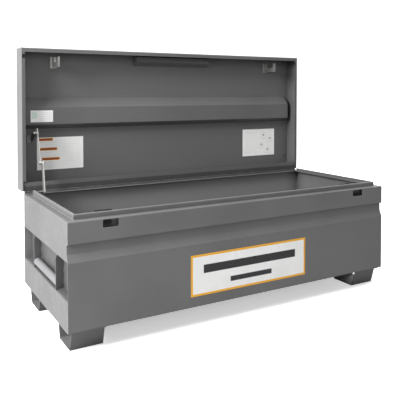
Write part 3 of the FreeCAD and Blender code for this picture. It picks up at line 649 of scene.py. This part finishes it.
def mount_rivets(bm):
    """A rivet through the stay's plate on the chest."""
    low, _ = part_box("stay_mount")
    add_dome(bm, (low[0] + 0.0051, low[1] + 0.0050, low[2] + 0.0072), (1, 0, 0), 0.0030, 0.0018)


def bumpers(bm):
    """Round push-in bumpers inside the lid near the hinge corners."""
    low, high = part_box("lid_top")
    for x in (low[0] + 0.032, high[0] - 0.032):
        add_dome(bm, (x, high[1] - 0.0021, low[2] + 0.080), (0, -1, 0), 0.0075, 0.0060)


rubber = powder_coat("dark_rubber", (0.075, 0.075, 0.078), 0.0)
piece_from("foot_weld_stitches", foot_welds, coat_feet, "chest")
piece_from("handle_weld_stitches", handle_welds, coat_handle_shaded, "chest")
piece_from("staple_weld_stitches", staple_welds, coat_lid, "lid")
piece_from("stiffener_spot_welds", spot_welds, coat_lid, "lid")
piece_from("hinge_rivets_body", lambda bm: hinge_rivets(bm, "body"), coat_dark, "chest")
piece_from("hinge_rivets_lid", lambda bm: hinge_rivets(bm, "lid"), coat_dark, "lid")
piece_from("stay_mount_rivet", mount_rivets, zinc, "chest")
piece_from("lid_bumpers", bumpers, rubber, "lid")


# ---------------------------------------------------------------- stage
def stage_floor():
    """Large floor that curves up behind the chest and glows white away from it."""
    bm = bmesh.new()
    half = 12.0
    rows = [(-9.0, 0.0), (6.0, 0.0)]
    for k in range(1, 9):
        turn = math.pi / 2 * k / 8
        rows.append((6.0 + 2.5 * math.sin(turn), 2.5 * (1 - math.cos(turn))))
    rows.append((8.5, 8.0))
    grid = [[bm.verts.new((x, y, z)) for x in (-half, half)] for y, z in rows]
    for a, b in zip(grid, grid[1:]):
        bm.faces.new((a[0], a[1], b[1], b[0]))
    mesh = bpy.data.meshes.new("studio_floor")
    bm.to_mesh(mesh)
    bm.free()
    for polygon in mesh.polygons:
        polygon.use_smooth = True
    obj = bpy.data.objects.new("studio_floor", mesh)
    bpy.context.scene.collection.objects.link(obj)
    n = Nodes("studio_paper")
    tone = n.mix(n.noise(0.7, 2.0), (0.90, 0.90, 0.90), (0.93, 0.93, 0.93))
    seen = n.tree.nodes.new("ShaderNodeLightPath").outputs["Is Camera Ray"]
    n.link(n.mix(seen, FLOOR_BOUNCE, tone), n.shader.inputs["Base Color"])
    n.shader.inputs["Roughness"].default_value = 0.9
    n.shader.inputs["Specular IOR Level"].default_value = 0.1
    n.link(tone, n.shader.inputs["Emission Color"])
    away = n.math("SQRT", n.math("ADD", n.math("MULTIPLY", n.x, n.x), n.math("MULTIPLY", n.y, n.y)))
    glow = n.ramp(away, 1.6, 4.4, FLOOR_GLOW, 1.0)
    n.link(n.math("MULTIPLY", seen, glow), n.shader.inputs["Emission Strength"])
    mesh.materials.append(n.material)


def area_light(name, place, aim, size, power):
    data = bpy.data.lights.new(name, "AREA")
    data.shape = "RECTANGLE"
    data.size, data.size_y = size
    data.energy = power
    obj = bpy.data.objects.new(name, data)
    bpy.context.scene.collection.objects.link(obj)
    obj.visible_camera = False
    obj.location = place
    obj.rotation_euler = (Vector(aim) - Vector(place)).to_track_quat("-Z", "Y").to_euler()


# name, place, aimed at, size, power
LIGHTS = (
    ("key_left", (-4.2, -0.6, 2.7), (-0.7, 0.0, 0.5), (2.2, 2.2), 530),
    ("top", (0.2, -0.9, 4.4), (0.0, -0.1, 0.4), (5.0, 3.6), 90),
    ("right_fill", (4.6, 1.2, 2.4), (0.8, 0.1, 0.5), (3.0, 2.4), 105),
    ("rear_fill", (0.6, 5.0, 2.4), (0.0, 0.4, 0.6), (4.0, 2.4), 95),
    ("front_fill", (-0.8, -6.0, 2.6), (0.0, 0.0, 0.6), (5.0, 3.0), 95),
)

stage_floor()
for light in LIGHTS:
    area_light(*light)

world = bpy.data.worlds.new("studio")
world.use_nodes = True
bpy.context.scene.world = world
tree = world.node_tree
background = tree.nodes["Background"]
background.inputs["Color"].default_value = (1, 1, 1, 1)
ray = tree.nodes.new("ShaderNodeLightPath")
level = tree.nodes.new("ShaderNodeMapRange")
level.inputs["To Min"].default_value = WORLD_LIGHT
level.inputs["To Max"].default_value = 1.0
tree.links.new(ray.outputs["Is Camera Ray"], level.inputs["Value"])
tree.links.new(level.outputs["Result"], background.inputs["Strength"])

scene = bpy.context.scene
scene.view_settings.view_transform = "Standard"
scene.view_settings.look = "None"

camera_data = bpy.data.cameras.new("camera")
camera_data.sensor_width = 36.0
camera_data.lens = CAMERA_LENS
camera_data.shift_y = CAMERA_SHIFT
camera_data.clip_end = 60.0
camera = bpy.data.objects.new("camera", camera_data)
scene.collection.objects.link(camera)
camera.location = CAMERA_PLACE
camera.rotation_euler = (math.radians(90 - CAMERA_PITCH), 0, -math.radians(CAMERA_YAW))
scene.camera = camera
